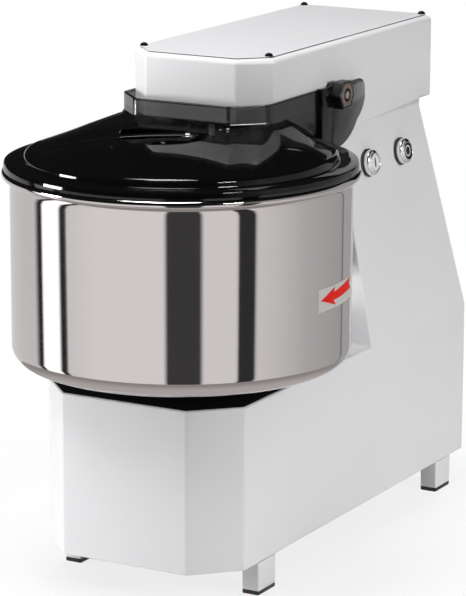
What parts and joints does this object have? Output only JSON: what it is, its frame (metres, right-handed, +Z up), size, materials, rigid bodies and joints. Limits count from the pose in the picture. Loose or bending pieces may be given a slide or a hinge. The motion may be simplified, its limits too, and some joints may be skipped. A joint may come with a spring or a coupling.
{
  "type": "spiral dough mixer",
  "caption": "Spiral dough mixer with a fixed head: turning stainless bowl, spiral hook, breaker bar, smoked cover that tilts up, belt drive and push-button controls.",
  "frame": {"origin": "on the floor under the middle of the machine's outer box", "axes": "+X to the right as the user stands in front of the bowl, -Y to the front, +Z up"},
  "size_m": [0.3794, 0.6632, 0.5606],
  "materials": {
    "white_powder_coat": "smooth semi-gloss powder coat",
    "polished_stainless": "polished, vertical reflections",
    "stainless_fastener": "bright",
    "smoked_plastic": "glossy smoked sheet, thermoformed",
    "black_plastic": "satin moulded",
    "knob_plastic": "satin moulded",
    "chrome_bezel": "chrome plated",
    "white_button": "glossy moulded",
    "black_button": "glossy moulded",
    "bush_plastic": "turned acetal",
    "bearing_steel": "ground",
    "machined_steel": "oiled",
    "belt_rubber": "ribbed belt, matt",
    "housing_iron": "painted casting",
    "zinc_sheet": "zinc plated"
  },
  "bodies": {
    "frame": {"base_shell": "white_powder_coat", "bottom_plate": "zinc_sheet", "bottom_plate_screws": "stainless_fastener", "leg_front_left": "white_powder_coat", "leg_front_right": "white_powder_coat", "leg_rear_left": "white_powder_coat", "leg_rear_right": "white_powder_coat", "foot_caps": "black_plastic", "column_shell": "white_powder_coat", "head_shell": "white_powder_coat", "head_cover": "white_powder_coat", "head_cover_screws": "stainless_fastener", "rear_cover": "white_powder_coat", "rear_cover_screws": "stainless_fastener", "cable_gland": "black_plastic", "bowl_bearing_housing": "housing_iron", "bowl_bearings": "bearing_steel", "bowl_belt": "belt_rubber", "shaft_bracket": "zinc_sheet", "drive_bearing": "bearing_steel", "gear_reducer": "housing_iron", "reducer_bolts": "stainless_fastener", "drive_motor": "housing_iron", "motor_fan_cover": "black_plastic", "control_box": "zinc_sheet", "spiral_bearing_housing": "housing_iron", "spiral_bearings": "bearing_steel", "spiral_belt": "belt_rubber", "breaker_bar": "polished_stainless", "breaker_bar_nut": "stainless_fastener", "left_hinge_bush": "bush_plastic", "right_hinge_bush": "bush_plastic", "lid_switch": "black_plastic", "start_bezel": "chrome_bezel", "stop_bezel": "chrome_bezel", "button_gaskets": "black_plastic", "start_switch_body": "black_plastic", "stop_switch_body": "black_plastic"},
    "bowl_group": {"bowl": "polished_stainless", "bowl_hub": "machined_steel", "bowl_screws": "stainless_fastener", "bowl_shaft": "machined_steel", "bowl_pulley": "machined_steel"},
    "drive_group": {"drive_shaft": "machined_steel", "lower_drive_pulley": "machined_steel", "upper_drive_pulley": "machined_steel"},
    "spiral_group": {"spiral_tool": "polished_stainless", "spiral_shaft": "machined_steel", "spiral_pulley": "machined_steel"},
    "lid_group": {"lid": "smoked_plastic", "left_lid_knob": "knob_plastic", "right_lid_knob": "knob_plastic", "left_hinge_pin": "machined_steel", "right_hinge_pin": "machined_steel", "switch_cam": "bush_plastic"},
    "plunger": {"switch_plunger": "bush_plastic"},
    "start_cap": {"start_button": "white_button"},
    "stop_cap": {"stop_button": "black_button"}
  },
  "joints": [
    {"name": "bowl_spin", "type": "hinge", "parent": "frame", "child": "bowl_group", "pos_m": [0, -0.1419, 0.234], "axis": [0, 0, 1], "continuous": true},
    {"name": "drive_spin", "type": "hinge", "parent": "frame", "child": "drive_group", "pos_m": [0, 0.1271, 0.3], "axis": [0, 0, 1], "continuous": true},
    {"name": "spiral_spin", "type": "hinge", "parent": "frame", "child": "spiral_group", "pos_m": [0, -0.0299, 0.4], "axis": [0, 0, 1], "continuous": true},
    {"name": "lid_hinge", "type": "hinge", "parent": "frame", "child": "lid_group", "pos_m": [0, 0.0331, 0.501], "axis": [-1, 0, 0], "range_deg": [0, 70]},
    {"name": "plunger_slide", "type": "slide", "parent": "frame", "child": "plunger", "axis": [0, -1, 0], "range_m": [0, 0.0015]},
    {"name": "start_press", "type": "slide", "parent": "frame", "child": "start_cap", "axis": [-0.9903, 0, -0.1386], "range_m": [0, 0.003], "stiffness_N_per_m": 600},
    {"name": "stop_press", "type": "slide", "parent": "frame", "child": "stop_cap", "axis": [-0.9903, 0, -0.1386], "range_m": [0, 0.003], "stiffness_N_per_m": 600}
  ],
  "couplings": [
    {"joint": "drive_spin", "follows": "bowl_spin", "ratio": 4},
    {"joint": "spiral_spin", "follows": "bowl_spin", "ratio": 6},
    {"joint": "plunger_slide", "follows": "lid_hinge", "m_per_rad": 0.001227}
  ]
}
